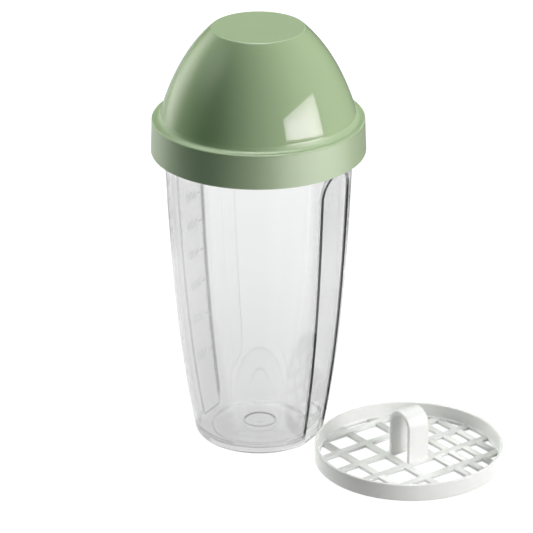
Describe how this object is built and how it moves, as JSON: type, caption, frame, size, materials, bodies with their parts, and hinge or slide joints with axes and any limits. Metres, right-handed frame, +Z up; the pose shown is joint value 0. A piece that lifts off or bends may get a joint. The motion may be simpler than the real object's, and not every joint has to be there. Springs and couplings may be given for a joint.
{
  "type": "shaker cup",
  "caption": "Clear tapering shaker cup with sunk grip panels, a green domed push-on lid and a white lift-out sieve with an arched grip lying beside it.",
  "frame": {"origin": "middle of the floor area that the cup and the sieve beside it cover together, at floor level", "axes": "+Z up along the cup's axis, -Y towards the viewer in front, +X to the side where the sieve lies"},
  "size_m": [0.1612, 0.1246, 0.2],
  "materials": {
    "clear_plastic": "clear, smooth and glossy",
    "green_plastic": "pale green; glossy dome, satin skirt and flat top",
    "white_plastic": "warm white, satin"
  },
  "bodies": {
    "cup": {"cup": "clear_plastic"},
    "lid": {"lid": "green_plastic"},
    "sieve": {"sieve_insert": "white_plastic"}
  },
  "joints": [
    {"name": "lid_lift", "type": "slide", "parent": "cup", "child": "lid", "axis": [0, 0, 1], "range_m": [0, 0.1]},
    {"name": "sieve_lift", "type": "slide", "parent": "cup", "child": "sieve", "axis": [0.2266, -0.1056, 0.9682], "range_m": [0, 0.16]}
  ]
}
